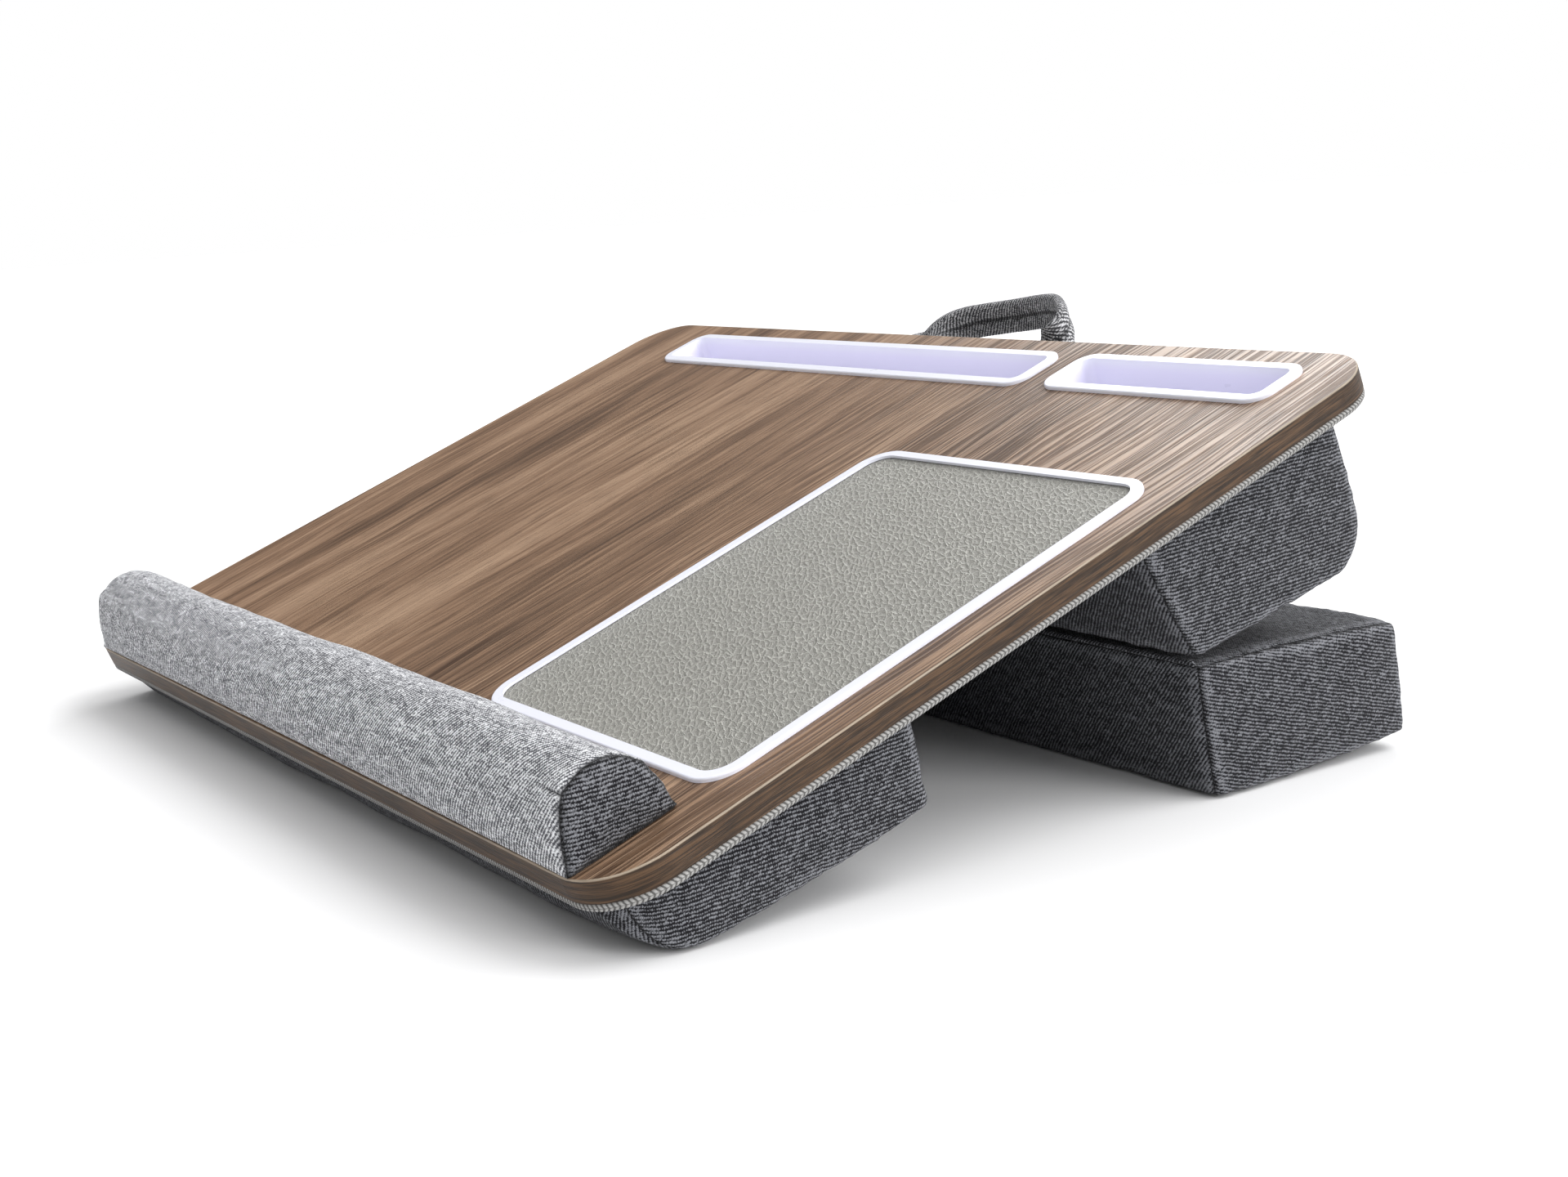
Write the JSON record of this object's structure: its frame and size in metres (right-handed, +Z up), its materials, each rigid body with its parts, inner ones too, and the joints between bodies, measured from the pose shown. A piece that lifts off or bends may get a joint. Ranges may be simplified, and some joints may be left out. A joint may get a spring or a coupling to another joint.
{
  "type": "lap tray with cushion",
  "caption": "Lap tray with a wood-grain board, wrist rest, framed mouse pad, accessory trays and strap handle, on foam cushions with a hinged cushion that props it up.",
  "frame": {"origin": "centre of the footprint box, on the surface that the tray stands on", "axes": "+X along the width, to the user's right; +Y from the front edge to the back; +Z up"},
  "size_m": [0.56, 0.4224, 0.1855],
  "materials": {
    "board_core": "raw fibreboard",
    "wood_grain": "satin wood-grain laminate",
    "wood_edge": "satin wood-grain strip",
    "cushion_fabric": "dark heather twill",
    "handle_fabric": "heather twill",
    "piping_fabric": "woven light grey cord",
    "wrist_fabric": "grey heather weave",
    "white_plastic": "white, glossy",
    "pad_leather": "grained, crackled grey",
    "backing_board": "plain",
    "foam": "open-cell foam",
    "tape": "bonding tape",
    "strip_tape": "hook and loop tape"
  },
  "bodies": {
    "board": {"top_board": "board_core", "wood_laminate": "wood_grain", "edge_band": "wood_edge", "underside_cover": "cushion_fabric", "edge_piping": "piping_fabric", "mouse_pad_frame": "white_plastic", "mouse_pad_leather": "pad_leather", "mouse_pad_backing": "backing_board", "wrist_rest_cover": "wrist_fabric", "wrist_rest_end_left": "wrist_fabric", "wrist_rest_end_right": "wrist_fabric", "wrist_rest_foam": "foam", "wrist_rest_tape": "tape", "front_cushion_cover": "cushion_fabric", "front_cushion_end_left": "cushion_fabric", "front_cushion_end_right": "cushion_fabric", "front_cushion_foam": "foam", "rear_cushion_cover": "cushion_fabric", "rear_cushion_end_left": "cushion_fabric", "rear_cushion_end_right": "cushion_fabric", "rear_cushion_foam": "foam", "hinge_seam": "cushion_fabric", "stow_hook_strips": "strip_tape", "handle_tabs": "handle_fabric", "long_tray": "white_plastic", "short_tray": "white_plastic"},
    "folding_cushion": {"folding_cushion_cover": "cushion_fabric", "folding_cushion_end_left": "cushion_fabric", "folding_cushion_end_right": "cushion_fabric", "folding_cushion_foam": "foam", "stow_loop_strips": "strip_tape"},
    "handle": {"handle_strap": "handle_fabric"}
  },
  "joints": [
    {"name": "cushion_fold", "type": "hinge", "parent": "board", "child": "folding_cushion", "pos_m": [0, 0.06053, 0.05678], "axis": [-1, 0, 0], "range_deg": [0, 158]},
    {"name": "handle_swing", "type": "hinge", "parent": "board", "child": "handle", "pos_m": [0, 0.17172, 0.15452], "axis": [1, 0, 0], "range_deg": [-110, 40]}
  ]
}
